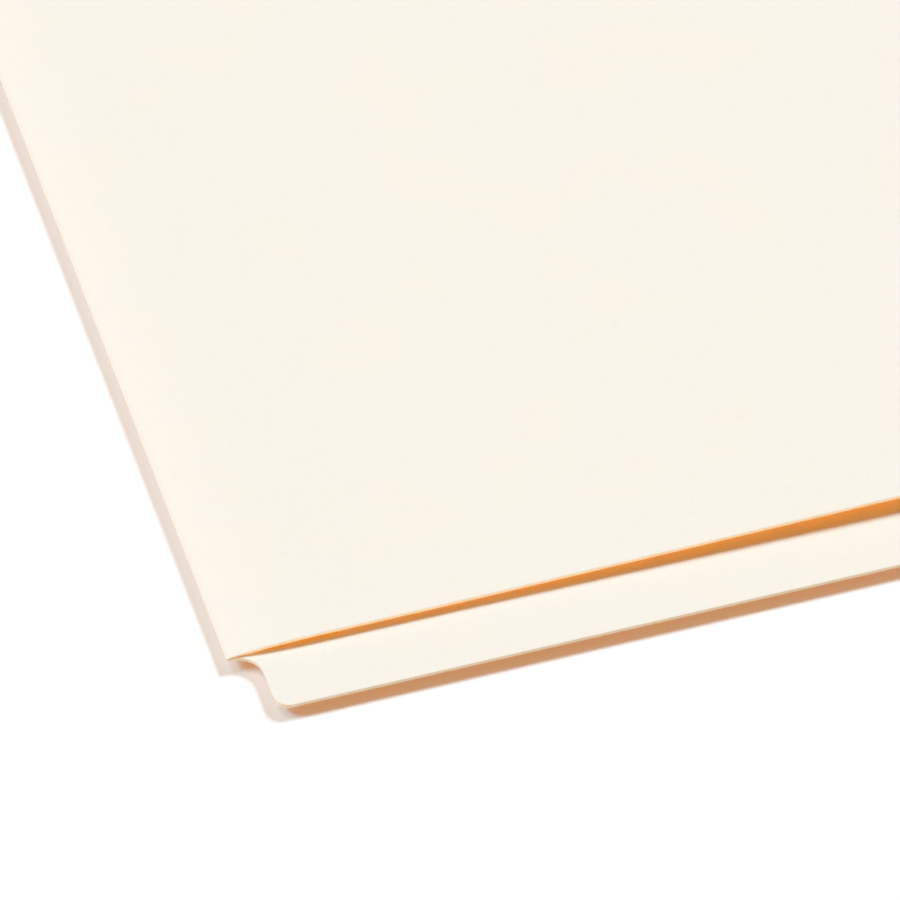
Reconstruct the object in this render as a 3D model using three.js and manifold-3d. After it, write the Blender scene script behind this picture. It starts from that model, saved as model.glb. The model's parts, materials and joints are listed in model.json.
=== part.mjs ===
// End-tab file pocket, letter size, made of manila stock, lying flat with its front panel up.
//
// Millimetres, +Z up. +X points to the tab end, +Y from the folded bottom (the spine) to the
// open top (the mouth). The origin is under the middle of the pocket, on the surface it lies on.
//
// A pocket is a body sheet and two gussets. Each flat stretch between two creases is one solid:
// the back panel, the two halves of the bottom, the front panel, and in each gusset a glue lap on
// each panel with two folded halves between them. The laps run out to the panels' edges, and at
// the tab end the back lap runs on over the tab and makes it two plies thick. The pocket opens
// like a bellows: the halves swing on the creases and the front panel rises, staying parallel to
// the back panel.

import * as THREE from 'three';
import { mergeVertices } from 'three/addons/utils/BufferGeometryUtils.js';
import Module from 'manifold-3d';

// Driving dimensions: outline
const bodyWidth = 298.45; // along X, without the tab
const tabExtension = 12.7; // how far the tab stands past the front panel
const panelHeight = 241.3; // along Y, spine to mouth
const mouthCornerRadius = 1.5;

// Driving dimensions: stock and folds
const ply = 0.3; // one sheet of manila
const glueFilm = 0.04;
const expansion = 38.1; // how far apart the panels stand when the bottom is flat
const lapGap = 0.6; // air between a back lap and the front lap above it
const foldGap = 0.08; // air between the two halves of a gusset at their inner crease
const scoreGap = 0.1; // width of a score between two stretches of one sheet
const creaseGap = 0.02; // air between the two halves of the bottom at the spine

// Driving dimensions: the front panel bows up a little on its way to the mouth
const panelRise = 1.12;
const riseStart = 20; // from the spine
const riseEnd = 140; // from the spine
const riseSteps = 14;

// Driving dimensions: gussets
const lapWidth = 6.35; // from the front panel's edge in to the gusset's outer crease
const gussetFoot = 0.3; // clearance between the gusset and the bottom score
const mouthInset = 2; // the gusset stops this far short of the mouth

// Driving dimensions: tab
const tabUndercut = 5; // from the spine, and from the mouth, to the tab's ends
const undercutRadius = 4.3; // inner curve, from the body's side into the tab's end
const tabCornerRadius = 2.4; // outer curve of the tab's corners
const sideProud = 0.6; // the back panel's side stands this far past the front panel's
const tabSlit = 0.1; // cut that frees the tab from the bottom strip
const slitFoot = 1.2; // the tab's free end starts this far from the spine

// Driving dimensions: glue stops short of the sheet edges
const tabGlueMargin = 1.5;
const lapGlueMargin = 0.7;

// Places along X and Y
const halfLength = (bodyWidth + tabExtension) / 2;
const farX = -halfLength;
const tabX = halfLength;
const frontX = tabX - tabExtension;
const backX = frontX + sideProud;
const tabCreaseX = frontX - lapWidth; // outer creases of the two gussets
const farCreaseX = farX + lapWidth;
const spineY = -panelHeight / 2;
const mouthY = panelHeight / 2;
const halfBottom = expansion / 2;
const scoreY = spineY + halfBottom;
const gussetLowY = scoreY + gussetFoot;
const gussetHighY = mouthY - mouthInset;

// The halves of a gusset are narrower than those of the bottom by what a lap takes up
const gussetHalf = halfBottom - (ply + glueFilm);

// Levels along Z, from the surface up, where the front panel isn't yet bowed
const backLapUnder = ply + glueFilm;
const backLapTop = backLapUnder + ply;
const frontLapUnder = backLapTop + lapGap;
const frontGlueUnder = frontLapUnder + ply;
const frontPanelUnder = frontGlueUnder + glueFilm;

// The halves of a gusset lean towards each other, so that they meet at their inner crease
const gussetLean = (lapGap - foldGap) / 2 / gussetHalf;

// Finishes
const manila = { color: 0xf6ead2, roughness: 0.72, metalness: 0 };
const manilaInside = { color: 0xf1e0c0, roughness: 0.78, metalness: 0 };
const dryGlue = { color: 0xe9dcc0, roughness: 0.5, metalness: 0 };

const wasm = await Module();
wasm.setup();

const pocket = new THREE.Group();

// One named mesh with a material of its own.
function addPiece(name, geometry, finish) {
  const mesh = new THREE.Mesh(geometry, new THREE.MeshStandardMaterial(finish));
  mesh.name = name;
  pocket.add(mesh);
  return mesh;
}

function toSolid(geometry) {
  const bare = geometry.clone();
  bare.deleteAttribute('normal');
  bare.deleteAttribute('uv');
  const merged = mergeVertices(bare);
  return new wasm.Manifold(
    new wasm.Mesh({
      numProp: 3,
      vertProperties: new Float32Array(merged.attributes.position.array),
      triVerts: new Uint32Array(merged.index.array),
    }),
  );
}

function toGeometry(solid) {
  const mesh = solid.getMesh();
  const geometry = new THREE.BufferGeometry();
  geometry.setAttribute('position', new THREE.BufferAttribute(mesh.vertProperties, 3));
  geometry.setIndex(new THREE.BufferAttribute(mesh.triVerts, 1));
  geometry.computeVertexNormals();
  return geometry;
}

// A flat sheet: a plan outline, pushed up from one level by a thickness.
function flatSheet(outline, under, thickness) {
  const geometry = new THREE.ExtrudeGeometry(outline, {
    depth: thickness,
    bevelEnabled: false,
    curveSegments: 10,
  });
  geometry.translate(0, 0, under);
  return geometry;
}

// A sheet drawn in side view, as [y, z] points, and pushed along X.
function sideSheet(points, lowX, highX) {
  const outline = new THREE.Shape(points.map(([y, z]) => new THREE.Vector2(y, z)));
  const geometry = new THREE.ExtrudeGeometry(outline, {
    depth: highX - lowX,
    bevelEnabled: false,
  });
  const turn = new THREE.Matrix4().makeBasis(
    new THREE.Vector3(0, 1, 0),
    new THREE.Vector3(0, 0, 1),
    new THREE.Vector3(1, 0, 0),
  );
  geometry.applyMatrix4(turn);
  geometry.translate(lowX, 0, 0);
  return geometry;
}

function rectangle(lowX, lowY, highX, highY) {
  const shape = new THREE.Shape();
  shape.moveTo(lowX, lowY);
  shape.lineTo(highX, lowY);
  shape.lineTo(highX, highY);
  shape.lineTo(lowX, highY);
  shape.closePath();
  return shape;
}

// How far the front panel has bowed up at a place along Y: an even ramp with soft ends.
function riseAt(y) {
  const along = (y - spineY - riseStart) / (riseEnd - riseStart);
  const t = THREE.MathUtils.clamp(along, 0, 1);
  return panelRise * t * t * (3 - 2 * t);
}

// The places along Y where a bowed sheet has an edge.
function bowStations(lowY, highY) {
  const stations = [lowY];
  for (let i = 0; i <= riseSteps; i += 1) {
    const y = spineY + riseStart + ((riseEnd - riseStart) * i) / riseSteps;
    if (y > lowY && y < highY) stations.push(y);
  }
  stations.push(highY);
  return stations;
}

// A sheet that follows the front panel's bow, from one level up by a thickness.
function bowedSheet(lowX, highX, lowY, highY, under, thickness) {
  const stations = bowStations(lowY, highY);
  const lower = stations.map((y) => [y, under + riseAt(y)]);
  const upper = stations.map((y) => [y, under + thickness + riseAt(y)]);
  return sideSheet([...lower, ...upper.reverse()], lowX, highX);
}

// The fillet and corner radii, limited by the edges that they round.
const fillet = Math.min(undercutRadius, tabUndercut);
const tabCorner = Math.min(tabCornerRadius, tabExtension - sideProud - fillet);

// Draws the tab's edge, from its lower free end round to the top of the body's side.
function traceTab(shape) {
  const filletX = backX + fillet;
  const lowFilletY = spineY + tabUndercut - fillet;
  const highFilletY = mouthY - tabUndercut + fillet;
  const footAngle = Math.asin(Math.max(0, spineY + slitFoot - lowFilletY) / fillet);
  shape.lineTo(filletX - fillet * Math.cos(footAngle), spineY + slitFoot);
  shape.absarc(filletX, lowFilletY, fillet, Math.PI - footAngle, Math.PI / 2, true);
  shape.lineTo(tabX - tabCorner, spineY + tabUndercut);
  shape.absarc(tabX - tabCorner, spineY + tabUndercut + tabCorner, tabCorner, -Math.PI / 2, 0, false);
  shape.lineTo(tabX, mouthY - tabUndercut - tabCorner);
  shape.absarc(tabX - tabCorner, mouthY - tabUndercut - tabCorner, tabCorner, 0, Math.PI / 2, false);
  shape.lineTo(filletX, mouthY - tabUndercut);
  shape.absarc(filletX, highFilletY, fillet, -Math.PI / 2, -Math.PI, true);
  shape.lineTo(backX, mouthY);
}

// Back panel, with the lower ply of the tab. It runs from the back score to the mouth.
function backPanel() {
  const scoreEdge = scoreY + scoreGap / 2;
  const shape = new THREE.Shape();
  shape.moveTo(farX, scoreEdge);
  shape.lineTo(frontX + tabSlit, scoreEdge);
  shape.lineTo(frontX + tabSlit, spineY + slitFoot);
  traceTab(shape);
  shape.lineTo(farX + mouthCornerRadius, mouthY);
  shape.absarc(
    farX + mouthCornerRadius, mouthY - mouthCornerRadius, mouthCornerRadius, Math.PI / 2, Math.PI, false,
  );
  shape.closePath();
  return flatSheet(shape, 0, ply);
}

// Upper ply of the tab. It runs in under the front panel as the gusset's back lap.
function tabPly() {
  const shape = new THREE.Shape();
  shape.moveTo(frontX + tabSlit, spineY + slitFoot);
  traceTab(shape);
  shape.lineTo(frontX + tabSlit, mouthY);
  shape.lineTo(frontX + tabSlit, gussetHighY);
  shape.lineTo(tabCreaseX + scoreGap / 2, gussetHighY);
  shape.lineTo(tabCreaseX + scoreGap / 2, gussetLowY);
  shape.lineTo(frontX + tabSlit, gussetLowY);
  shape.closePath();
  return flatSheet(shape, backLapUnder, ply);
}

function tabGlue() {
  const lapX = tabCreaseX + lapGlueMargin;
  const rootX = frontX + tabSlit + tabGlueMargin;
  const tipX = tabX - tabGlueMargin;
  const lowY = spineY + tabUndercut + tabGlueMargin;
  const highY = mouthY - tabUndercut - tabGlueMargin;
  const shape = new THREE.Shape();
  shape.moveTo(lapX, gussetLowY + lapGlueMargin);
  shape.lineTo(rootX, gussetLowY + lapGlueMargin);
  shape.lineTo(rootX, lowY);
  shape.lineTo(tipX, lowY);
  shape.lineTo(tipX, highY);
  shape.lineTo(lapX, highY);
  shape.closePath();
  return flatSheet(shape, ply, glueFilm);
}

// Back half of the bottom: flat, between the back score and the spine.
function bottomBack() {
  return flatSheet(rectangle(farX, spineY, frontX, scoreY - scoreGap / 2), 0, ply);
}

// Front half of the bottom: it slopes up from the spine to the front score.
function bottomFront() {
  const spine = new THREE.Vector2(spineY, ply);
  const score = new THREE.Vector2(scoreY, frontPanelUnder);
  const along = score.clone().sub(spine).normalize();
  const away = new THREE.Vector2(-along.y, along.x);
  const inner = (y) => ply + ((y - spineY) * along.y) / along.x;
  const scoreEnd = score.clone().addScaledVector(along, -scoreGap / 2);
  const lift = creaseGap / along.x;
  const outer = (creaseGap + ply) / along.x;
  return sideSheet(
    [
      [spineY, inner(spineY) + lift],
      [scoreEnd.x, inner(scoreEnd.x) + lift],
      [scoreEnd.x + away.x * ply, inner(scoreEnd.x) + lift + away.y * ply],
      [spineY, inner(spineY) + outer],
    ],
    farX,
    frontX,
  );
}

// Front panel: a bowed sheet, cut to a plan outline with rounded corners at the mouth.
function frontPanel() {
  const lowY = scoreY + scoreGap / 2;
  const sheet = bowedSheet(farX, frontX, lowY, mouthY, frontPanelUnder, ply);
  const r = mouthCornerRadius;
  const shape = new THREE.Shape();
  shape.moveTo(farX, lowY);
  shape.lineTo(frontX, lowY);
  shape.lineTo(frontX, mouthY - r);
  shape.absarc(frontX - r, mouthY - r, r, 0, Math.PI / 2, false);
  shape.lineTo(farX + r, mouthY);
  shape.absarc(farX + r, mouthY - r, r, Math.PI / 2, Math.PI, false);
  shape.closePath();
  const cutter = flatSheet(shape, 0, frontPanelUnder + panelRise + ply * 2);
  return toGeometry(toSolid(sheet).intersect(toSolid(cutter)));
}

// Tilts a sheet along X: it climbs by lean for each millimetre that it runs inward from a crease.
function leanSheet(geometry, creaseX, inward, lean) {
  const slope = inward * lean;
  const tilt = new THREE.Matrix4().set(
    1, 0, 0, 0,
    0, 1, 0, 0,
    slope, 0, 1, -slope * creaseX,
    0, 0, 0, 1,
  );
  return geometry.applyMatrix4(tilt);
}

// The X range between two distances inward from a crease.
function spanFrom(creaseX, inward, near, far) {
  const ends = [creaseX + inward * near, creaseX + inward * far];
  return [Math.min(...ends), Math.max(...ends)];
}

// The two folded halves of one gusset. inward is -1 at the tab end and +1 at the far end.
function addGussetHalves(end, creaseX, inward) {
  const [lowX, highX] = spanFrom(creaseX, inward, scoreGap / 2, gussetHalf);
  const back = flatSheet(rectangle(lowX, gussetLowY, highX, gussetHighY), backLapUnder, ply);
  const front = bowedSheet(lowX, highX, gussetLowY, gussetHighY, frontLapUnder, ply);
  addPiece(`${end}_gusset_back_half`, leanSheet(back, creaseX, inward, gussetLean), manilaInside);
  addPiece(`${end}_gusset_front_half`, leanSheet(front, creaseX, inward, -gussetLean), manilaInside);
}

// The lap and glue that hold one gusset to the front panel. outward is away from the halves.
function addFrontLap(end, creaseX, outward) {
  const [lowX, highX] = spanFrom(creaseX, outward, scoreGap / 2, lapWidth);
  const [glueLowX, glueHighX] = spanFrom(creaseX, outward, lapGlueMargin, lapWidth - lapGlueMargin);
  const glueLowY = gussetLowY + lapGlueMargin;
  const glueHighY = gussetHighY - lapGlueMargin;
  const lap = bowedSheet(lowX, highX, gussetLowY, gussetHighY, frontLapUnder, ply);
  const glue = bowedSheet(glueLowX, glueHighX, glueLowY, glueHighY, frontGlueUnder, glueFilm);
  addPiece(`${end}_front_lap`, lap, manilaInside);
  addPiece(`${end}_front_glue`, glue, dryGlue);
}

// The lap and glue that hold the far gusset to the back panel. At the tab end the tab's upper ply
// is that lap.
function addFarBackLap(creaseX) {
  const [lowX, highX] = spanFrom(creaseX, -1, scoreGap / 2, lapWidth);
  const [glueLowX, glueHighX] = spanFrom(creaseX, -1, lapGlueMargin, lapWidth - lapGlueMargin);
  const glueLowY = gussetLowY + lapGlueMargin;
  const glueHighY = gussetHighY - lapGlueMargin;
  const lap = flatSheet(rectangle(lowX, gussetLowY, highX, gussetHighY), backLapUnder, ply);
  const glue = flatSheet(rectangle(glueLowX, glueLowY, glueHighX, glueHighY), ply, glueFilm);
  addPiece('far_end_back_lap', lap, manilaInside);
  addPiece('far_end_back_glue', glue, dryGlue);
}

addPiece('back_panel', backPanel(), manila);
addPiece('tab_glue', tabGlue(), dryGlue);
addPiece('tab_ply', tabPly(), manila);
addPiece('bottom_back', bottomBack(), manila);
addPiece('bottom_front', bottomFront(), manila);
addPiece('front_panel', frontPanel(), manila);
addGussetHalves('tab_end', tabCreaseX, -1);
addFrontLap('tab_end', tabCreaseX, 1);
addGussetHalves('far_end', farCreaseX, 1);
addFrontLap('far_end', farCreaseX, -1);
addFarBackLap(farCreaseX);

export default pocket;
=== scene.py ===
"""Dresses a letter-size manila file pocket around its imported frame, in a plain pale studio.

Sizes are in millimetres, and a mesh is turned into metres as it is written. +X points to the tab
end, +Y from the folded bottom (the spine) to the open top (the mouth), +Z up through the front.
"""

import json
import logging
import math
from collections.abc import Callable
from dataclasses import dataclass
from enum import Enum

import bmesh
import bpy
from mathutils import Matrix, Vector
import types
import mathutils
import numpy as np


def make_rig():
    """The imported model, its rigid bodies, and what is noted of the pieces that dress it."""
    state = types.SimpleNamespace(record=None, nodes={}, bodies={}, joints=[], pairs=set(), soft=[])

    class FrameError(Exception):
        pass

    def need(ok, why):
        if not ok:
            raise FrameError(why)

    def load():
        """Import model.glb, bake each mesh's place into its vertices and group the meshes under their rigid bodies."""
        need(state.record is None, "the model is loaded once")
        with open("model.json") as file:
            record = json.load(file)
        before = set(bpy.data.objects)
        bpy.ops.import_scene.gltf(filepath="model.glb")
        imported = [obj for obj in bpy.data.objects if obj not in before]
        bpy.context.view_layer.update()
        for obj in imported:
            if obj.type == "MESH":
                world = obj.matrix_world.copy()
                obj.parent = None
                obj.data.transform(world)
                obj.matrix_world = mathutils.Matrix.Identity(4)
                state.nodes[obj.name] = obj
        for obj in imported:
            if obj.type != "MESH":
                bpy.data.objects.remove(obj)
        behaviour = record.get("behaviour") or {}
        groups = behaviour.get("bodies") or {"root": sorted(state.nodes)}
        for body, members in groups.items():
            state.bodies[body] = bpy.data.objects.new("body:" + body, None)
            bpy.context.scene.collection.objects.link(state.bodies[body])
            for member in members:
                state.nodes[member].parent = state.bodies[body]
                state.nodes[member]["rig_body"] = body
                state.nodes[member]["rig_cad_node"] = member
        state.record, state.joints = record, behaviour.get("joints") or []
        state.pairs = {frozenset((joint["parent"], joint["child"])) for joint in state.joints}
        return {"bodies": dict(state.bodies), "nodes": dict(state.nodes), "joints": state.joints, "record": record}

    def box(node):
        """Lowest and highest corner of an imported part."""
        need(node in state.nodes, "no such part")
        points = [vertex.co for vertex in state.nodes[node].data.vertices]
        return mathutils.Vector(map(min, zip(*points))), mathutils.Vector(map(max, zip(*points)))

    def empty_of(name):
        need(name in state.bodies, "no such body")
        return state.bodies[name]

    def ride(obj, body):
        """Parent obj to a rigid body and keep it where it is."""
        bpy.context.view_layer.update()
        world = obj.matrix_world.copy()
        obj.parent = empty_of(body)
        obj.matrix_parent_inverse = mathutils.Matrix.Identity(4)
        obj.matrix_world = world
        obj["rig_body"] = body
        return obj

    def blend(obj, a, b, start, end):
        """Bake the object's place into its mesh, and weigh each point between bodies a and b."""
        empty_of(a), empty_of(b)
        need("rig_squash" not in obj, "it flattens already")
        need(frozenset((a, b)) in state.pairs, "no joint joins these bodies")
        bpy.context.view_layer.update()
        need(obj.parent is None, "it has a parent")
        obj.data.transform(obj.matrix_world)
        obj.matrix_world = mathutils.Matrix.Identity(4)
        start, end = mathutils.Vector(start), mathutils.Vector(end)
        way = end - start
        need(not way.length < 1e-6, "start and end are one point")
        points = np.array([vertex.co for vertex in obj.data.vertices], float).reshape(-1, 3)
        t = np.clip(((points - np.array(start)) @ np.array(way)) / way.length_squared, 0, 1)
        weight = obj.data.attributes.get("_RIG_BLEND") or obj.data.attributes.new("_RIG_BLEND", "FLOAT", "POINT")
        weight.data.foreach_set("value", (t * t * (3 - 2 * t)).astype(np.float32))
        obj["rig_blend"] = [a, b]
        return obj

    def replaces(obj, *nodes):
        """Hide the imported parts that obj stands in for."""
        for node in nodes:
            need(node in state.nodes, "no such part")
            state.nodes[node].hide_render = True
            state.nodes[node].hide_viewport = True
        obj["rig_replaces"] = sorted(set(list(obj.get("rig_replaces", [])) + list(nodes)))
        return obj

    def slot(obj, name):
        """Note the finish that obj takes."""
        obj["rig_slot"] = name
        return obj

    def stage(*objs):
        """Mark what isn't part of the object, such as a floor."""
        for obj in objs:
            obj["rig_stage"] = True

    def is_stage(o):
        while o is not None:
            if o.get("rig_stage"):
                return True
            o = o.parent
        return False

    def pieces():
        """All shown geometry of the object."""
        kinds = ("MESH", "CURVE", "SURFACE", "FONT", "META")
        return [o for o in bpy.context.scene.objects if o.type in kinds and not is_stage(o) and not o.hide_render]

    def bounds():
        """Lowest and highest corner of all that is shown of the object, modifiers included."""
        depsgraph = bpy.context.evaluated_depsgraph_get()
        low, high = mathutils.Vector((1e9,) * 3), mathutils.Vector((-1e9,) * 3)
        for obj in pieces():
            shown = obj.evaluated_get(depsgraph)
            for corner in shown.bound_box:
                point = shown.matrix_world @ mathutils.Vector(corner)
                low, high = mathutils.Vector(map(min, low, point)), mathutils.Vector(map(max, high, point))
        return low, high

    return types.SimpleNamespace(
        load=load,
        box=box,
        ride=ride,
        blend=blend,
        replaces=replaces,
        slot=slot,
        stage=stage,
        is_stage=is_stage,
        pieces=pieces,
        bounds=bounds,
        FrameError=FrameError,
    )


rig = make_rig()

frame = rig.load()
cad_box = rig.bounds()

MM = 0.001
SIZE_FILE = "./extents.json"
PICTURE_SIDE = 900
WELD = 1e-4  # points this close together become one
SHARP_ANGLE = 15  # degrees between two faces that meet at a hard edge
BEND_STEPS = 5  # stations to each side of a crease
WHITE = (1.0, 1.0, 1.0, 1.0)

log = logging.getLogger("file_pocket")

Height = Callable[[float, float], float]
Linkable = "Value | bpy.types.NodeSocket | float | tuple"


class Slot(Enum):
    """The material slots that the record names."""

    OUTSIDE = "manila_outside"
    INSIDE = "manila_inside"
    GLUE = "dry_glue"


class End(Enum):
    """The two ends of the pocket that have a gusset. The value points out of the pocket along X."""

    TAB = 1
    FAR = -1

    @property
    def prefix(self) -> str:
        """The start of the names of this end's pieces."""
        return "tab_end" if self is End.TAB else "far_end"


def smooth(t: float) -> float:
    """Eases from 0 to 1 with level ends.

    Args:
        t: place along the ramp, held to 0..1.

    Returns:
        The eased value.
    """
    t = min(max(t, 0.0), 1.0)
    return t * t * (3 - 2 * t)


def node_box(node: str) -> tuple[Vector, Vector]:
    """Gives a frame node's box in millimetres.

    Args:
        node: the node's name.

    Returns:
        Its lowest and highest corners.
    """
    low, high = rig.box(node)
    return low / MM, high / MM


def joint_place(name: str) -> Vector:
    """Gives the point that a joint turns about, in millimetres.

    Args:
        name: the joint's name.

    Returns:
        The point at rest.
    """
    joint = next(j for j in frame["joints"] if j["name"] == name)
    return Vector(joint["pos_m"]) / MM


class Value:
    """A number socket that grows Math nodes as it meets operators."""

    def __init__(self, tree: "Tree", socket: bpy.types.NodeSocket) -> None:
        """Wraps one output socket of a tree."""
        self.tree = tree
        self.socket = socket

    def _math(self, operation: str, first: Linkable, second: Linkable) -> "Value":
        """Adds one Math node.

        Args:
            operation: the node's operation.
            first: the first value or link.
            second: the second value or link.

        Returns:
            The node's output.
        """
        node = self.tree.node("ShaderNodeMath", {"operation": operation}, {0: first, 1: second})
        return Value(self.tree, node.outputs[0])

    def __add__(self, other: Linkable) -> "Value":
        """self + other."""
        return self._math("ADD", self, other)

    def __radd__(self, other: Linkable) -> "Value":
        """other + self."""
        return self._math("ADD", other, self)

    def __sub__(self, other: Linkable) -> "Value":
        """self - other."""
        return self._math("SUBTRACT", self, other)

    def __rsub__(self, other: Linkable) -> "Value":
        """other - self."""
        return self._math("SUBTRACT", other, self)

    def __mul__(self, other: Linkable) -> "Value":
        """self * other."""
        return self._math("MULTIPLY", self, other)

    def __rmul__(self, other: Linkable) -> "Value":
        """other * self."""
        return self._math("MULTIPLY", other, self)

    def at_least(self, other: Linkable) -> "Value":
        """The larger of the two."""
        return self._math("MAXIMUM", self, other)

    def above(self, edge: float, softness: float) -> "Value":
        """Rises from 0 to 1 where the value passes an edge.

        Args:
            edge: the value in the middle of the rise.
            softness: the width of the rise.

        Returns:
            The mask.
        """
        soft = {"interpolation_type": "SMOOTHSTEP"}
        sockets = {"Value": self, "From Min": edge - softness / 2, "From Max": edge + softness / 2}
        node = self.tree.node("ShaderNodeMapRange", soft, sockets)
        return Value(self.tree, node.outputs["Result"])


class Tree:
    """The node tree of a material or the world, with short ways to add nodes."""

    def __init__(self, owner: bpy.types.Material | bpy.types.World) -> None:
        """Empties the owner's tree and keeps it.

        Args:
            owner: the material or the world.
        """
        owner.use_nodes = True
        self.nodes = owner.node_tree.nodes
        self.links = owner.node_tree.links
        self.nodes.clear()

    def node(
        self, kind: str, settings: dict | None = None, sockets: dict | None = None
    ) -> bpy.types.Node:
        """Adds a node.

        Args:
            kind: the node's type name.
            settings: properties that are set before the sockets.
            sockets: a value or a link for each named or numbered input.

        Returns:
            The node.
        """
        node = self.nodes.new(kind)
        for name, setting in (settings or {}).items():
            setattr(node, name, setting)
        for name, given in (sockets or {}).items():
            if isinstance(given, Value):
                self.links.new(given.socket, node.inputs[name])
            elif isinstance(given, bpy.types.NodeSocket):
                self.links.new(given, node.inputs[name])
            else:
                node.inputs[name].default_value = given
        return node

    def mix(self, share: Linkable, first: Linkable, second: Linkable) -> bpy.types.NodeSocket:
        """Mixes two colours.

        Args:
            share: how much of the second colour shows.
            first: a colour or its link.
            second: a colour or its link.

        Returns:
            The mixed colour's socket.
        """
        node = self.node("ShaderNodeMix", {"data_type": "RGBA"}, {0: share, 6: first, 7: second})
        return node.outputs[2]

    def noise(
        self, place: bpy.types.NodeSocket, scale: float = 1.0, octaves: float = 3.0, rough: float = 0.6
    ) -> Value:
        """Adds a noise pattern.

        Args:
            place: the coordinates, in millimetres.
            scale: waves in a millimetre.
            octaves: how many layers of finer noise there are.
            rough: how strong the finer layers are.

        Returns:
            The noise, around 0.5.
        """
        sockets = {"Vector": place, "Scale": scale, "Detail": octaves, "Roughness": rough}
        node = self.node("ShaderNodeTexNoise", {"noise_dimensions": "3D"}, sockets)
        return Value(self, node.outputs[0])

    def place(
        self, stretch: tuple[float, float, float] = (1.0, 1.0, 1.0), turn: float = 0.0
    ) -> bpy.types.NodeSocket:
        """Adds the piece's own coordinates, in millimetres, turned about Z and stretched.

        Args:
            stretch: the scale along each axis.
            turn: the turn in degrees.

        Returns:
            The coordinates' socket.
        """
        source = self.node("ShaderNodeTexCoord").outputs["Object"]
        scale = [s / MM for s in stretch]
        turned = {"Vector": source, "Rotation": (0.0, 0.0, math.radians(turn))}
        spun = self.node("ShaderNodeMapping", {}, turned).outputs[0]
        return self.node("ShaderNodeMapping", {}, {"Vector": spun, "Scale": scale}).outputs[0]

    def relief(self, height: Value, depth: float) -> bpy.types.NodeSocket:
        """Adds a bump.

        Args:
            height: the relief's height.
            depth: how deep a height of 1 is, in millimetres.

        Returns:
            The bumped normal's socket.
        """
        sockets = {"Distance": depth * MM, "Height": height}
        return self.node("ShaderNodeBump", {}, sockets).outputs[0]

    def surface(self, sockets: dict) -> None:
        """Adds the shader of a solid surface and the material's output.

        Args:
            sockets: a value or a link for each input of the shader.
        """
        shell = self.node("ShaderNodeBsdfPrincipled", {}, sockets)
        self.node("ShaderNodeOutputMaterial", {}, {"Surface": shell.outputs[0]})


def tint(red: int, green: int, blue: int) -> tuple[float, float, float, float]:
    """Turns a display colour into a linear one.

    Args:
        red: 0 to 255.
        green: 0 to 255.
        blue: 0 to 255.

    Returns:
        Red, green, blue and an alpha of 1.
    """

    def linear(channel: int) -> float:
        """One channel of the display curve, undone."""
        c = channel / 255
        return c / 12.92 if c <= 0.04045 else ((c + 0.055) / 1.055) ** 2.4

    return linear(red), linear(green), linear(blue), 1.0


@dataclass(frozen=True)
class Manila:
    """Smooth uncoated manila card: pale and faintly mottled, with fine fibres and a little tooth."""

    name: str
    pale: tuple[float, float, float, float]
    warm: tuple[float, float, float, float]
    fibre: tuple[float, float, float, float]
    roughness: float = 0.85
    rough_swing: float = 0.10
    sheen: float = 0.12
    mottle_scale: float = 0.045
    mottle_rough: float = 0.55
    mottle_edge: float = 0.5
    mottle_softness: float = 0.35
    speckle_scale: float = 1.6
    tooth_scale: float = 9.0
    fibre_stretch: tuple[float, float, float] = (0.35, 5.0, 1.0)
    fibre_turns: tuple[float, float, float] = (12.0, 74.0, 131.0)
    fibre_octaves: float = 2.0
    fibre_edge: float = 0.66
    fibre_softness: float = 0.12
    fibre_share: float = 0.09
    speckle_height: float = 0.6
    tooth_height: float = 0.4
    fibre_height: float = 0.3
    relief_depth: float = 0.012

    def fibres(self, tree: Tree, turn: float) -> Value:
        """Adds fibres that lie mostly along one direction.

        Args:
            tree: the material's tree.
            turn: the direction in degrees.

        Returns:
            A mask, 1 on a fibre.
        """
        threads = tree.noise(tree.place(self.fibre_stretch, turn), octaves=self.fibre_octaves)
        return threads.above(self.fibre_edge, self.fibre_softness)

    def build(self) -> bpy.types.Material:
        """Makes the material.

        Returns:
            The material.
        """
        material = bpy.data.materials.new(self.name)
        tree = Tree(material)
        flat = tree.place()
        clouds = tree.noise(flat, self.mottle_scale, rough=self.mottle_rough)
        mottle = clouds.above(self.mottle_edge, self.mottle_softness)
        speckle = tree.noise(flat, self.speckle_scale)
        tooth = tree.noise(flat, self.tooth_scale)
        first, second, third = (self.fibres(tree, turn) for turn in self.fibre_turns)
        fibres = first.at_least(second).at_least(third)
        base = tree.mix(mottle, self.pale, self.warm)
        height = speckle * self.speckle_height + tooth * self.tooth_height + fibres * self.fibre_height
        tree.surface(
            {
                "Base Color": tree.mix(fibres * self.fibre_share, base, self.fibre),
                "Roughness": speckle * self.rough_swing + (self.roughness - self.rough_swing / 2),
                "Normal": tree.relief(height, self.relief_depth),
                "Specular IOR Level": self.sheen,
            }
        )
        return material


@dataclass(frozen=True)
class CutEdge:
    """The cut side of a sheet: a pressed stack of fibres in fine layers."""

    name: str
    light: tuple[float, float, float, float]
    dark: tuple[float, float, float, float]
    layer_stretch: tuple[float, float, float] = (0.5, 0.5, 14.0)
    layer_edge: float = 0.5
    layer_softness: float = 0.4
    nick_scale: float = 3.0
    least_rough: float = 0.8
    rough_swing: float = 0.1
    relief_depth: float = 0.03

    def build(self) -> bpy.types.Material:
        """Makes the material.

        Returns:
            The material.
        """
        material = bpy.data.materials.new(self.name)
        tree = Tree(material)
        layers = tree.noise(tree.place(self.layer_stretch))
        nicks = tree.noise(tree.place(), self.nick_scale)
        share = layers.above(self.layer_edge, self.layer_softness)
        tree.surface(
            {
                "Base Color": tree.mix(share, self.light, self.dark),
                "Roughness": nicks * self.rough_swing + self.least_rough,
                "Normal": tree.relief(layers + nicks, self.relief_depth),
            }
        )
        return material


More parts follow.
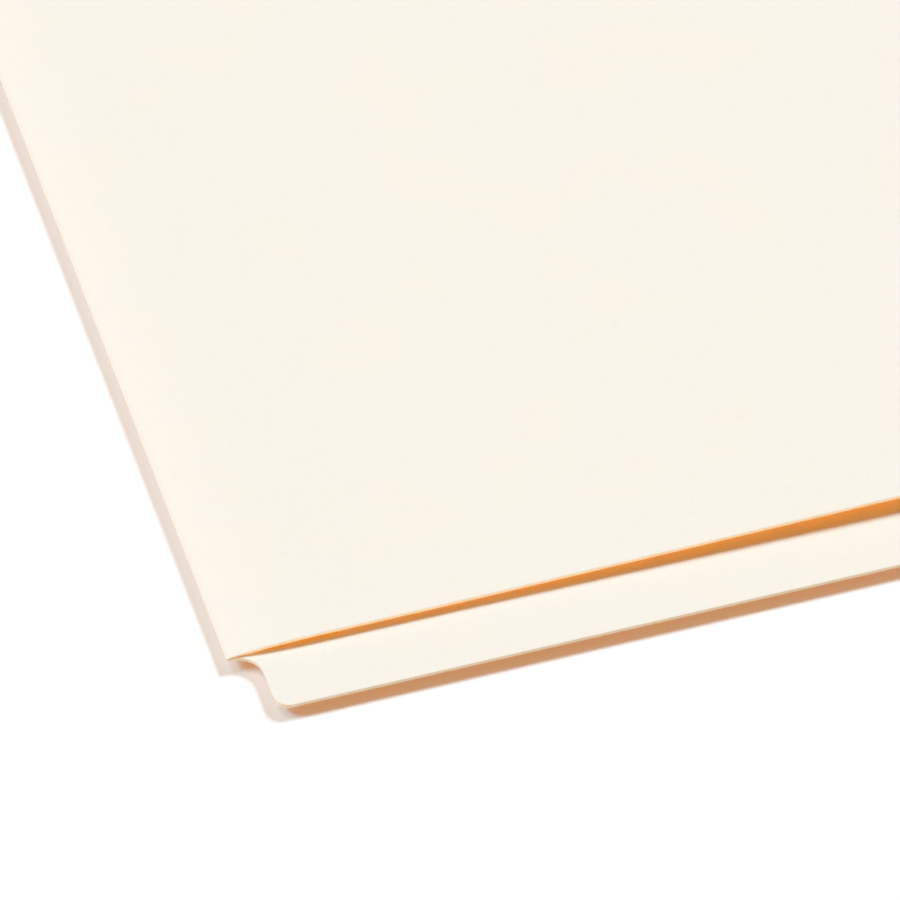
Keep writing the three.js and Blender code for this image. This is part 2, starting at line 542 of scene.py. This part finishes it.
@dataclass(frozen=True)
class DryGlue:
    """A thin film of dried glue, uneven where it was rolled on."""

    name: str = "dry_glue_film"
    light: tuple[float, float, float, float] = tint(238, 228, 204)
    dark: tuple[float, float, float, float] = tint(226, 212, 184)
    roll_stretch: tuple[float, float, float] = (0.3, 1.5, 1.0)
    least_rough: float = 0.4
    rough_swing: float = 0.2
    relief_depth: float = 0.01

    def build(self) -> bpy.types.Material:
        """Makes the material.

        Returns:
            The material.
        """
        material = bpy.data.materials.new(self.name)
        tree = Tree(material)
        rolled = tree.noise(tree.place(self.roll_stretch))
        tree.surface(
            {
                "Base Color": tree.mix(rolled, self.light, self.dark),
                "Roughness": rolled * self.rough_swing + self.least_rough,
                "Normal": tree.relief(rolled, self.relief_depth),
            }
        )
        return material


@dataclass(frozen=True)
class Dress:
    """The materials of one sheet: its faces and its cut edge."""

    face: bpy.types.Material
    edge: bpy.types.Material


@dataclass
class Outline:
    """A plan outline that is drawn point by point, counter-clockwise."""

    points: list[tuple[float, float]]
    arc_steps: int = 14

    def line(self, x: float, y: float) -> "Outline":
        """Goes straight to a point."""
        self.points.append((x, y))
        return self

    def arc(self, x: float, y: float, radius: float, start: float, end: float) -> "Outline":
        """Goes round part of a circle.

        Args:
            x: the circle's middle.
            y: the circle's middle.
            radius: its radius.
            start: the angle where the arc starts, in degrees.
            end: the angle where it ends.

        Returns:
            The outline itself.
        """
        for step in range(self.arc_steps + 1):
            angle = math.radians(start + (end - start) * step / self.arc_steps)
            self.points.append((x + radius * math.cos(angle), y + radius * math.sin(angle)))
        return self

    @classmethod
    def rectangle(cls, low_x: float, high_x: float, low_y: float, high_y: float) -> "Outline":
        """A plain rectangle."""
        return cls([(low_x, low_y), (high_x, low_y), (high_x, high_y), (low_x, high_y)])


@dataclass
class Sheet:
    """One stretch of stock: a plan outline that follows a height, with its cut edges eased."""

    name: str
    outline: Outline
    under: Height
    ply: float
    dress: Dress
    cuts_x: list[float]
    cuts_y: list[float]
    ease: float = 0.05

    def face_up(self, build: bmesh.types.BMesh) -> None:
        """Fills the outline and cuts it along its stations.

        Args:
            build: the mesh under work.
        """
        ring = [build.verts.new((x, y, 0.0)) for x, y in self.outline.points]
        build.faces.new(ring)
        bmesh.ops.remove_doubles(build, verts=build.verts[:], dist=WELD)
        for axis, cuts in ((Vector((1, 0, 0)), self.cuts_x), (Vector((0, 1, 0)), self.cuts_y)):
            for cut in cuts:
                parts = build.verts[:] + build.edges[:] + build.faces[:]
                bmesh.ops.bisect_plane(
                    build, geom=parts, dist=WELD / 10, plane_co=axis * cut, plane_no=axis
                )

    def build(self) -> bpy.types.Object:
        """Makes the sheet as a closed mesh.

        Returns:
            The object, in metres.
        """
        build = bmesh.new()
        self.face_up(build)
        lower = build.faces[:]
        copy = bmesh.ops.duplicate(build, geom=build.verts[:] + build.edges[:] + lower)
        upper = [f for f in copy["geom"] if isinstance(f, bmesh.types.BMFace)]
        raised = {v for f in upper for v in f.verts}
        rim_low = [e for e in build.edges if e.is_boundary and e.verts[0] not in raised]
        rim_high = [e for e in build.edges if e.is_boundary and e.verts[0] in raised]
        for vert in build.verts:
            lift = self.ply if vert in raised else 0.0
            vert.co.z = self.under(vert.co.x, vert.co.y) + lift
        bmesh.ops.reverse_faces(build, faces=lower)
        sides = bmesh.ops.bridge_loops(build, edges=rim_low + rim_high)["faces"]
        for side in sides:
            side.material_index = 1
        bmesh.ops.recalc_face_normals(build, faces=build.faces[:])
        bmesh.ops.bevel(
            build,
            geom=rim_low + rim_high,
            offset=self.ease,
            segments=2,
            profile=0.5,
            affect="EDGES",
            clamp_overlap=True,
            material=1,
        )
        return finish_mesh(self.name, build, self.dress)


def finish_mesh(name: str, build: bmesh.types.BMesh, dress: Dress) -> bpy.types.Object:
    """Writes a mesh under work as an object of the scene.

    Args:
        name: the piece's name.
        build: the mesh under work, in millimetres. It is freed.
        dress: the piece's materials.

    Returns:
        The object, in metres.
    """
    bmesh.ops.transform(build, matrix=Matrix.Scale(MM, 4), verts=build.verts[:])
    mesh = bpy.data.meshes.new(name)
    build.to_mesh(mesh)
    build.free()
    mesh.materials.append(dress.face)
    mesh.materials.append(dress.edge)
    mesh.shade_smooth()
    mesh.set_sharp_from_angle(angle=math.radians(SHARP_ANGLE))
    piece = bpy.data.objects.new(name, mesh)
    bpy.context.scene.collection.objects.link(piece)
    return piece


def spread(low: float, high: float, step: float) -> list[float]:
    """Even stations strictly between two places.

    Args:
        low: the lower place.
        high: the higher place.
        step: about how far apart they are.

    Returns:
        The stations.
    """
    count = max(1, round((high - low) / step))
    return [low + (high - low) * i / count for i in range(1, count)]


def crease_cuts(place: float, half: float) -> list[float]:
    """Close stations across a crease.

    Args:
        place: the crease.
        half: half the width of the bend.

    Returns:
        The stations.
    """
    return [place + half * i / BEND_STEPS for i in range(-BEND_STEPS, BEND_STEPS + 1)]


@dataclass
class Pocket:
    """The sizes that the whole pocket shares, read from its frame or repeated from its design."""

    rise_start: float = 20.0
    rise_end: float = 140.0
    mouth_corner: float = 1.5
    tab_undercut: float = 5.0
    undercut_radius: float = 4.3
    lower_corner: float = 2.2
    upper_corner: float = 2.8
    side_proud: float = 0.6
    foot_proud: float = 0.15
    tab_slit: float = 0.1
    slit_foot: float = 1.2
    bend: float = 0.5
    station: float = 6.0
    rise_station: float = 1.5
    strip_station: float = 4.0
    lap_station: float = 3.0
    near_score: float = 1.0
    near_station: float = 0.1
    crease_gap: float = 0.12
    spine_rise: float = 3.0
    spine_steps: int = 24

    def __post_init__(self) -> None:
        """Reads the frame."""
        back_low, back_high = node_box("back_panel")
        strip_low, strip_high = node_box("bottom_back")
        front_low, front_high = node_box("front_panel")
        self.ply = back_high.z - back_low.z
        self.far_x = back_low.x
        self.tab_x = back_high.x
        self.mouth_y = back_high.y
        self.front_x = strip_high.x
        self.spine_y = strip_low.y
        self.score_y = joint_place("bottom_back_fold").y
        self.front_under = front_low.z
        self.rise = front_high.z - front_low.z - self.ply
        self.bead = self.ply + self.crease_gap / 2
        self.sheet_start = self.spine_y + self.bead

    def bow(self, y: float) -> float:
        """How far the front has bowed up at a place along Y."""
        return self.rise * smooth((y - self.spine_y - self.rise_start) / (self.rise_end - self.rise_start))

    def front_height(self, _x: float, y: float) -> float:
        """The underside of the front sheet: quickly up from the spine, level at the score, then bowed.

        Args:
            _x: place along X, which the height doesn't depend on.
            y: place along Y.

        Returns:
            The height.
        """
        if y >= self.score_y:
            return self.front_under + self.bow(y)
        lowest = self.ply + self.crease_gap
        before = (self.score_y - y) / (self.score_y - self.sheet_start)
        return self.front_under - (self.front_under - lowest) * before**self.spine_rise

    def front_cuts(self) -> list[float]:
        """Stations along Y for what follows the front, close together across its score.

        Returns:
            The stations.
        """
        below = spread(self.sheet_start, self.score_y - self.near_score, self.rise_station)
        above = spread(self.score_y + self.near_score, self.mouth_y, self.station / 2)
        return below + crease_cuts(self.score_y, self.bend) + above

    def front_bend(self) -> dict[str, Vector]:
        """Where the bend at the front score starts and ends.
        """
        turn = joint_place("front_fold")
        half = Vector((0, self.bend, 0))
        return {"start": (turn - half) * MM, "end": (turn + half) * MM}


@dataclass
class BodySheet:
    """The sheet that is folded at the spine: back panel, the bottom's two halves, front panel."""

    pocket: Pocket
    dress: Dress

    def front(self) -> bpy.types.Object:
        """Makes the front sheet in one piece, from the spine over the score to the mouth.

        Returns:
            The piece.
        """
        p = self.pocket
        r = p.mouth_corner
        outline = Outline([(p.far_x, p.sheet_start), (p.front_x, p.sheet_start)])
        outline.arc(p.front_x - r, p.mouth_y - r, r, 0, 90)
        outline.arc(p.far_x + r, p.mouth_y - r, r, 90, 180)
        piece = Sheet(
            "front_sheet",
            outline,
            p.front_height,
            p.ply,
            self.dress,
            spread(p.far_x, p.front_x, p.station),
            p.front_cuts(),
        ).build()
        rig.replaces(piece, "front_panel", "bottom_front")
        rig.blend(piece, "bottom_front_strip", "front", **p.front_bend())
        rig.slot(piece, Slot.OUTSIDE.value)
        return piece

    def back(self) -> bpy.types.Object:
        """Makes the back panel with the lower ply of the tab.

        Returns:
            The piece.
        """
        p = self.pocket
        r = p.mouth_corner
        slit_x = p.front_x + p.tab_slit
        outline = Outline([(p.far_x, p.score_y), (slit_x, p.score_y)])
        outline.line(slit_x, p.spine_y + p.slit_foot)
        trace_tab(outline, p, p.lower_corner)
        outline.line(p.front_x + p.side_proud, p.mouth_y)
        outline.arc(p.far_x + r, p.mouth_y - r, r, 90, 180)
        piece = Sheet(
            "back_sheet",
            outline,
            lambda _x, _y: 0.0,
            p.ply,
            self.dress,
            spread(p.far_x, p.front_x, p.station * 2),
            spread(p.score_y, p.mouth_y, p.station * 2),
        ).build()
        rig.replaces(piece, "back_panel")
        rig.ride(piece, "back")
        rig.slot(piece, Slot.OUTSIDE.value)
        return piece

    def bottom(self) -> bpy.types.Object:
        """Makes the back half of the bottom, whose upper edge stays on the back panel's.

        Returns:
            The piece.
        """
        p = self.pocket
        near_y = p.score_y - p.near_score
        piece = Sheet(
            "bottom_back_sheet",
            Outline.rectangle(p.far_x, p.front_x, p.sheet_start, p.score_y),
            lambda _x, _y: 0.0,
            p.ply,
            self.dress,
            spread(p.far_x, p.front_x, p.station * 2),
            spread(p.sheet_start, near_y, p.strip_station) + spread(near_y, p.score_y, p.near_station),
        ).build()
        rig.replaces(piece, "bottom_back")
        turn = joint_place("bottom_back_fold")
        start = Vector((0, turn.y - p.bend, turn.z)) * MM
        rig.blend(piece, "bottom_back_strip", "back", start=start, end=turn * MM)
        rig.slot(piece, Slot.OUTSIDE.value)
        return piece

    def spine(self) -> bpy.types.Object:
        """Makes the bend of the stock at the spine, a half round from the back half to the front half.

        Returns:
            The piece.
        """
        p = self.pocket
        steps = p.spine_steps
        build = bmesh.new()
        middle = Vector((p.sheet_start, p.bead))
        ring = []
        for step in range(steps + 1):
            angle = math.radians(270 - 180 * step / steps)
            ring.append((middle.x + p.bead * math.cos(angle), middle.y + p.bead * math.sin(angle)))
        for step in range(steps - 1, 0, -1):
            ring.append((middle.x, 2 * p.bead * step / steps))
        stations = [p.far_x] + spread(p.far_x, p.front_x, p.station) + [p.front_x]
        rows = [[build.verts.new((x, y, z)) for y, z in ring] for x in stations]
        for near, past in zip(rows, rows[1:]):
            for i in range(len(ring)):
                j = (i + 1) % len(ring)
                build.faces.new((near[i], near[j], past[j], past[i]))
        for row in (rows[0], rows[-1]):
            build.faces.new(row).material_index = 1
        bmesh.ops.recalc_face_normals(build, faces=build.faces[:])
        piece = finish_mesh("spine_bend", build, self.dress)
        turn = joint_place("spine_fold")
        start = Vector((0, turn.y, 0)) * MM
        end = Vector((0, turn.y, 2 * p.bead)) * MM
        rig.blend(piece, "bottom_back_strip", "bottom_front_strip", start=start, end=end)
        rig.slot(piece, Slot.OUTSIDE.value)
        return piece


def trace_tab(outline: Outline, p: Pocket, corner: float) -> None:
    """Draws the tab's edge, from its lower free end round to its upper end.

    Args:
        outline: the outline to go on with.
        p: the pocket's sizes.
        corner: the radius of this ply's outer corners.
    """
    low_x = p.front_x + p.foot_proud + p.undercut_radius
    high_x = p.front_x + p.side_proud + p.undercut_radius
    low_y = p.spine_y + p.tab_undercut - p.undercut_radius
    high_y = p.mouth_y - p.tab_undercut + p.undercut_radius
    foot = math.degrees(math.asin((p.spine_y + p.slit_foot - low_y) / p.undercut_radius))
    corner_x = p.tab_x - corner
    corner_low = p.spine_y + p.tab_undercut + corner
    corner_high = p.mouth_y - p.tab_undercut - corner
    outline.arc(low_x, low_y, p.undercut_radius, 180 - foot, 90)
    outline.arc(corner_x, corner_low, corner, -90, 0)
    outline.arc(corner_x, corner_high, corner, 0, 90)
    outline.arc(high_x, high_y, p.undercut_radius, -90, -180)


@dataclass
class Gusset:
    """The folded side of the pocket at one end.

    A back sheet and a front sheet have a crease each, and the front lap has a foot in the bottom.
    """

    pocket: Pocket
    end: End
    dress: Dress
    outer_dress: Dress
    foot_start: float = 1.8
    foot_inset: float = 0.3
    foot_gap: float = 0.02

    def __post_init__(self) -> None:
        """Reads this end's sizes from the frame."""
        name = self.end.prefix
        self.crease_x = joint_place(f"{name}_back_fold").x
        self.half_low, self.half_high = node_box(f"{name}_gusset_back_half")
        self.front_low, self.front_high = node_box(f"{name}_gusset_front_half")
        self.lap_low, self.lap_high = node_box(f"{name}_front_lap")
        self.inner_x = self.half_low.x if self.end is End.TAB else self.half_high.x
        self.outer_x = self.lap_high.x if self.end is End.TAB else self.lap_low.x
        self.low_y = self.half_low.y
        self.high_y = self.half_high.y
        self.lean = self.half_high.z - self.half_low.z - self.pocket.ply

    def inward(self, x: float) -> float:
        """How far a place lies inside the crease, from 0 there to 1 at the inner end."""
        return min(max((x - self.crease_x) / (self.inner_x - self.crease_x), 0.0), 1.0)

    def back_height(self, x: float, _y: float) -> float:
        """The underside of the back sheet, which leans up towards the inner crease."""
        return self.half_low.z + self.lean * self.inward(x)

    def front_height(self, x: float, y: float) -> float:
        """The underside of the front sheet, which follows the front's bow at the crease only.

        Args:
            x: place along X.
            y: place along Y.

        Returns:
            The height.
        """
        share = self.inward(x)
        bow = self.pocket.bow(y) * (1 - smooth(share))
        return self.lap_low.z + bow - self.lean * share

    def cuts(self) -> list[float]:
        """Stations along X, close together across the crease.

        Returns:
            The stations.
        """
        low, high = sorted((self.inner_x, self.outer_x))
        return spread(low, high, self.pocket.lap_station) + crease_cuts(self.crease_x, self.pocket.bend)

    def across(self, z: float) -> tuple[Vector, Vector]:
        """Where the bend at the crease starts and ends, from the half to the lap.

        Args:
            z: the level of the crease.

        Returns:
            The two points, in metres.
        """
        half = self.pocket.bend * self.end.value
        return Vector((self.crease_x - half, 0, z)) * MM, Vector((self.crease_x + half, 0, z)) * MM

    def back(self) -> bpy.types.Object:
        """Makes the back sheet: the inner half, the crease and the lap.

        At the tab end the lap goes on as the tab's upper ply.

        Returns:
            The piece.
        """
        p = self.pocket
        name = self.end.prefix
        cuts_y = spread(self.low_y, self.high_y, p.station)
        if self.end is End.TAB:
            slit_x = p.front_x + p.tab_slit
            outline = Outline([(self.inner_x, self.low_y), (slit_x, self.low_y)])
            outline.line(slit_x, p.spine_y + p.slit_foot)
            trace_tab(outline, p, p.upper_corner)
            outline.line(p.front_x + p.side_proud, p.mouth_y)
            outline.line(slit_x, p.mouth_y)
            outline.line(slit_x, self.high_y)
            outline.line(self.inner_x, self.high_y)
            stood_for = ["tab_ply", f"{name}_gusset_back_half"]
            slot, dress = Slot.OUTSIDE, self.outer_dress
        else:
            outline = Outline.rectangle(self.outer_x, self.inner_x, self.low_y, self.high_y)
            stood_for = [f"{name}_back_lap", f"{name}_gusset_back_half"]
            slot, dress = Slot.INSIDE, self.dress
        sheet = Sheet(f"{name}_back_sheet", outline, self.back_height, p.ply, dress, self.cuts(), cuts_y)
        piece = sheet.build()
        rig.replaces(piece, *stood_for)
        start, end = self.across(joint_place(f"{name}_back_fold").z)
        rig.blend(piece, f"{name}_back_gusset", "back", start=start, end=end)
        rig.slot(piece, slot.value)
        return piece

    def front(self) -> bpy.types.Object:
        """Makes the front sheet: the inner half, the crease and the lap on the front panel.

        Returns:
            The piece.
        """
        p = self.pocket
        name = self.end.prefix
        low_x, high_x = sorted((self.inner_x, self.outer_x))
        piece = Sheet(
            f"{name}_front_sheet",
            Outline.rectangle(low_x, high_x, self.low_y, self.high_y),
            self.front_height,
            p.ply,
            self.dress,
            self.cuts(),
            spread(self.low_y, self.high_y, p.station / 2),
        ).build()
        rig.replaces(piece, f"{name}_front_lap", f"{name}_gusset_front_half")
        start, end = self.across(joint_place(f"{name}_front_fold").z)
        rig.blend(piece, f"{name}_front_gusset", "front", start=start, end=end)
        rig.slot(piece, Slot.INSIDE.value)
        return piece

    def foot_height(self, x: float, y: float) -> float:
        """The underside of the foot, one lap and its glue below the front sheet."""
        return self.pocket.front_height(x, y) - (self.pocket.front_under - self.lap_low.z)

    def foot(self) -> bpy.types.Object:
        """Makes the foot of the front lap, which goes on under the bottom's front half to the spine.

        Returns:
            The piece.
        """
        p = self.pocket
        low_x, high_x = sorted((self.crease_x + self.foot_inset * self.end.value, self.outer_x))
        low_y, high_y = p.spine_y + self.foot_start, self.low_y - self.foot_gap
        piece = Sheet(
            f"{self.end.prefix}_front_foot",
            Outline.rectangle(low_x, high_x, low_y, high_y),
            self.foot_height,
            p.front_under - self.lap_low.z - self.foot_gap,
            self.dress,
            spread(low_x, high_x, p.lap_station),
            p.front_cuts(),
        ).build()
        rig.blend(piece, "bottom_front_strip", "front", **p.front_bend())
        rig.slot(piece, Slot.INSIDE.value)
        return piece


@dataclass
class GlueFilms:
    """The glue under the laps and between the tab's plies, which stays as the frame has it."""

    names: tuple[str, ...] = ("tab_glue", "tab_end_front_glue", "far_end_front_glue", "far_end_back_glue")

    def dress(self) -> None:
        """Gives the films their material."""
        material = DryGlue().build()
        for name in self.names:
            node = frame["nodes"][name]
            node.data.materials.clear()
            node.data.materials.append(material)
            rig.slot(node, Slot.GLUE.value)


@dataclass(frozen=True)
class Key:
    """One of the soft lights, which are white together where all of them land.

    Thin manila lets orange light through, so the orange share of a key casts no shadow, and what
    lies in the shadow of a sheet is lit orange.
    """

    name: str
    source: tuple[float, float, float]
    stopped: tuple[float, float, float]
    passed: tuple[float, float, float] | None = None
    angle: float = 14.0

    def build(self) -> None:
        """Adds the share that the stock stops, and the share that it lets through."""
        self.lamp(f"{self.name}_stopped", self.stopped, True)
        if self.passed:
            self.lamp(f"{self.name}_passed", self.passed, False)

    def lamp(self, name: str, level: tuple[float, float, float], shadow: bool) -> None:
        """Adds one share of the key.

        Args:
            name: the lamp's name.
            level: how bright a level white surface is under it alone, in red, green and blue.
            shadow: whether it casts a shadow.
        """
        towards = Vector(self.source).normalized()
        peak = max(level)
        lamp = bpy.data.lights.new(name, "SUN")
        lamp.energy = peak * math.pi / towards.z
        lamp.color = [part / peak for part in level]
        lamp.angle = math.radians(self.angle)
        lamp.use_shadow = shadow
        key = bpy.data.objects.new(name, lamp)
        key.rotation_mode = "QUATERNION"
        key.rotation_quaternion = towards.to_track_quat("Z", "Y")
        bpy.context.scene.collection.objects.link(key)


@dataclass
class Studio:
    """A plain pale table, three soft keys, a low card beside the tab end, and a long lens."""

    pocket: Pocket
    table_drop: float = 1.25
    table_side: float = 16000.0
    low_key: Key = Key("low_key", (-0.93, -1.5, 1.0), (0.100, 0.272, 0.358), (0.275, 0.075, 0.004), 20.0)
    back_key: Key = Key("back_key", (-0.93, -0.45, 1.0), (0.131, 0.126, 0.108))
    side_key: Key = Key("side_key", (-0.93, 1.08, 1.0), (0.335, 0.431, 0.508), (0.091, 0.041, 0.002))
    card: Key = Key("card", (1.0, -0.25, 0.035), (0.023, 0.021, 0.017), None, 3.0)
    fill: tuple[float, float, float] = (0.045, 0.034, 0.006)
    table_bounce: float = 0.35
    table_lift: float = 0.085
    azimuth: float = 72.9
    elevation: float = 47.3
    distance: float = 1600.0
    scale: float = 6.1
    corner_pixel: tuple[float, float] = (226.6, 658.9)
    sensor: float = 36.0
    clip: tuple[float, float] = (0.05, 40.0)

    def table(self) -> bpy.types.Object:
        """Makes the table top a little under the pocket, which lies on it unevenly.

        Returns:
            The table.
        """
        half = self.table_side / 2
        build = bmesh.new()
        corners = [(-half, -half), (half, -half), (half, half), (-half, half)]
        build.faces.new([build.verts.new((x, y, -self.table_drop)) for x, y in corners])
        material = bpy.data.materials.new("table_top")
        tree = Tree(material)
        ray = tree.node("ShaderNodeLightPath").outputs["Is Camera Ray"]
        dim = tree.node("ShaderNodeBsdfDiffuse", {}, {"Color": [self.table_bounce] * 3 + [1.0]})
        pale = tree.node("ShaderNodeBsdfDiffuse", {}, {"Color": WHITE})
        lift = tree.node("ShaderNodeEmission", {}, {"Color": WHITE, "Strength": self.table_lift})
        seen = tree.node("ShaderNodeAddShader", {}, {0: pale.outputs[0], 1: lift.outputs[0]})
        top = tree.node("ShaderNodeMixShader", {}, {0: ray, 1: dim.outputs[0], 2: seen.outputs[0]})
        tree.node("ShaderNodeOutputMaterial", {}, {"Surface": top.outputs[0]})
        table = finish_mesh("table", build, Dress(material, material))
        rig.stage(table)
        return table

    def lights(self) -> None:
        """Adds the keys, the card and the even fill of the room."""
        for key in (self.low_key, self.back_key, self.side_key, self.card):
            key.build()
        world = bpy.data.worlds.new("room")
        bpy.context.scene.world = world
        tree = Tree(world)
        path = tree.node("ShaderNodeLightPath").outputs
        seen = Value(tree, path["Is Camera Ray"]).at_least(Value(tree, path["Is Glossy Ray"]))
        seen = seen.at_least(Value(tree, path["Is Transmission Ray"]))
        fill = tree.node("ShaderNodeBackground", {}, {"Color": (*self.fill, 1.0), "Strength": 1.0})
        white = tree.node("ShaderNodeBackground", {}, {"Color": WHITE, "Strength": 1.0})
        both = tree.node("ShaderNodeMixShader", {}, {0: seen, 1: fill.outputs[0], 2: white.outputs[0]})
        tree.node("ShaderNodeOutputWorld", {}, {"Surface": both.outputs[0]})

    def camera(self) -> None:
        """Adds the camera, so that the pocket's corner by the tab falls on its place in the picture."""
        a, e = math.radians(self.azimuth), math.radians(self.elevation)
        back = Vector((math.sin(a) * math.cos(e), -math.cos(a) * math.cos(e), math.sin(e)))
        right = Vector((math.cos(a), math.sin(a), 0))
        up = back.cross(right)
        corner = Vector((self.pocket.front_x, self.pocket.spine_y, 2 * self.pocket.bead))
        middle = PICTURE_SIDE / 2
        aside = (middle - self.corner_pixel[0]) / self.scale
        above = (self.corner_pixel[1] - middle) / self.scale
        lens = bpy.data.cameras.new("long_lens")
        lens.sensor_width = self.sensor
        lens.lens = lens.sensor_width * self.distance / (PICTURE_SIDE / self.scale)
        lens.clip_start, lens.clip_end = self.clip
        camera = bpy.data.objects.new("long_lens", lens)
        camera.rotation_mode = "QUATERNION"
        camera.rotation_quaternion = back.to_track_quat("Z", "Y")
        camera.location = (corner + right * aside + up * above + back * self.distance) * MM
        bpy.context.scene.collection.objects.link(camera)
        bpy.context.scene.camera = camera


def write_sizes() -> None:
    """Writes the frame's box and the dressed model's box, in metres."""
    sizes = {
        "cad": [list(corner) for corner in cad_box],
        "visual": [list(corner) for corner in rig.bounds()],
    }
    with open(SIZE_FILE, "w") as file:
        json.dump(sizes, file)


def main() -> None:
    """Builds the pieces, the studio and the camera."""
    logging.basicConfig(level=logging.INFO, format="%(message)s")
    bpy.context.scene.view_settings.view_transform = "Standard"
    pocket = Pocket()
    outside = Manila("manila_outside", tint(249, 244, 233), tint(250, 244, 231), tint(216, 192, 156))
    # The inside card is a little warmer than the outside. This is partly the stock's own tone and partly painted warm
    # glow of light bouncing between the sheets.
    inside = Manila("manila_inside", tint(248, 237, 214), tint(248, 236, 209), tint(210, 182, 140))
    cut = CutEdge("cut_edge_outside", tint(248, 240, 226), tint(232, 220, 202)).build()
    # The inside cut edge's peach tint is painted orange glow of light bouncing in the gap between the sheets; its fine
    # layers are the edge's own.
    cut_inside_glow = CutEdge("cut_edge_inside", tint(252, 236, 208), tint(240, 216, 182)).build()
    outer = Dress(outside.build(), cut)
    inner = Dress(inside.build(), cut_inside_glow)
    body = BodySheet(pocket, outer)
    pieces = [body.front(), body.back(), body.bottom(), body.spine()]
    for end in End:
        gusset = Gusset(pocket, end, inner, outer)
        pieces += [gusset.back(), gusset.front(), gusset.foot()]
    for piece in pieces:
        log.info("%s: %d faces", piece.name, len(piece.data.polygons))
    GlueFilms().dress()
    studio = Studio(pocket)
    studio.table()
    studio.lights()
    studio.camera()
    write_sizes()


if __name__ == "__main__":
    main()
